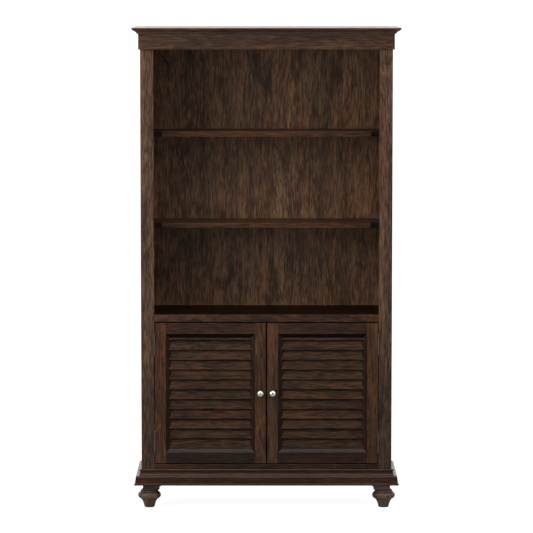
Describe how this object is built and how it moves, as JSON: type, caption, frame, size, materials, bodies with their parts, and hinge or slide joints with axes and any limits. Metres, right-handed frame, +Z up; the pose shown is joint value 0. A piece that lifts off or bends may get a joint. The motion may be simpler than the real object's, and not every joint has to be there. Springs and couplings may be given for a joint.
{
  "type": "bookcase with louvered cupboard",
  "caption": "Tall dark-stained wooden bookcase with a crown moulding, open adjustable shelves above, a louvered two-door cupboard below, a moulded base and turned bun feet.",
  "frame": {"origin": "on the floor, at the middle of the overall width and depth", "axes": "+Z up, front faces -Y, +X to the right of someone facing the front"},
  "size_m": [1.098, 0.406, 1.981],
  "materials": {
    "back_wood": "dark brown stained boards with knots, flat lacquer",
    "case_wood": "dark brown stained oak veneer, satin lacquer",
    "catch_plastic": "dark brown plastic",
    "door_wood": "dark brown stained oak, satin lacquer",
    "foot_wood": "dark brown stained turned hardwood, satin lacquer",
    "frame_wood": "dark brown stained oak, satin lacquer, face frame",
    "hinge_metal": "dark grey, satin",
    "inner_wood": "dark brown stained, unpolished",
    "knob_nickel": "satin nickel",
    "louver_wood": "dark brown stained oak, satin lacquer",
    "moulding_wood": "dark brown stained oak, satin lacquer, worn edges",
    "pin_nickel": "bright nickel",
    "screw_steel": "dull steel",
    "shelf_wood": "dark red-brown stained oak, satin lacquer",
    "strike_steel": "plain steel"
  },
  "bodies": {
    "carcass": {"back_panel_lower": "back_wood", "back_panel_upper": "back_wood", "back_screws": "screw_steel", "base_front": "moulding_wood", "base_left": "moulding_wood", "base_right": "moulding_wood", "bottom_rail": "frame_wood", "cabinet_floor": "inner_wood", "case_hinge_leaves": "hinge_metal", "case_hinge_screws": "screw_steel", "corner_blocks": "inner_wood", "crown_front": "moulding_wood", "crown_left": "moulding_wood", "crown_right": "moulding_wood", "fixed_shelf": "shelf_wood", "fixed_shelf_rail": "frame_wood", "foot_bolts": "screw_steel", "foot_plates": "foot_wood", "frieze_front": "moulding_wood", "frieze_left": "moulding_wood", "frieze_right": "moulding_wood", "front_left_foot": "foot_wood", "front_right_foot": "foot_wood", "hinge_pins": "hinge_metal", "left_side_panel": "case_wood", "left_stile": "frame_wood", "magnetic_catches": "catch_plastic", "rear_base_rail": "inner_wood", "rear_left_foot": "foot_wood", "rear_right_foot": "foot_wood", "right_side_panel": "case_wood", "right_stile": "frame_wood", "shelf_pins": "pin_nickel", "top_panel": "case_wood", "top_rail": "frame_wood"},
    "left_door": {"left_door_bottom_rail": "door_wood", "left_door_hinge_leaves": "hinge_metal", "left_door_hinge_screws": "screw_steel", "left_door_hinge_stile": "door_wood", "left_door_louvers": "louver_wood", "left_door_meeting_stile": "door_wood", "left_door_top_rail": "door_wood", "left_knob": "knob_nickel", "left_knob_screw": "screw_steel", "left_strike_plate": "strike_steel"},
    "right_door": {"right_door_bottom_rail": "door_wood", "right_door_hinge_leaves": "hinge_metal", "right_door_hinge_screws": "screw_steel", "right_door_hinge_stile": "door_wood", "right_door_louvers": "louver_wood", "right_door_meeting_stile": "door_wood", "right_door_top_rail": "door_wood", "right_knob": "knob_nickel", "right_knob_screw": "screw_steel", "right_strike_plate": "strike_steel"},
    "upper_shelf": {"upper_shelf_board": "shelf_wood", "upper_shelf_nosing": "shelf_wood"},
    "lower_shelf": {"lower_shelf_board": "shelf_wood", "lower_shelf_nosing": "shelf_wood"},
    "cupboard_shelf": {"cupboard_shelf_board": "shelf_wood"}
  },
  "joints": [
    {"name": "left_door_hinge", "type": "hinge", "parent": "carcass", "child": "left_door", "pos_m": [-0.461, -0.1732, 0.47875], "axis": [0, 0, -1], "range_deg": [0, 170]},
    {"name": "right_door_hinge", "type": "hinge", "parent": "carcass", "child": "right_door", "pos_m": [0.461, -0.1732, 0.47875], "axis": [0, 0, 1], "range_deg": [0, 170]},
    {"name": "upper_shelf_lift", "type": "slide", "parent": "carcass", "child": "upper_shelf", "axis": [0, 0, 1], "range_m": [0, 0.096]},
    {"name": "lower_shelf_lift", "type": "slide", "parent": "carcass", "child": "lower_shelf", "axis": [0, 0, 1], "range_m": [0, 0.096]},
    {"name": "cupboard_shelf_lift", "type": "slide", "parent": "carcass", "child": "cupboard_shelf", "axis": [0, 0, 1], "range_m": [0, 0.096]}
  ]
}
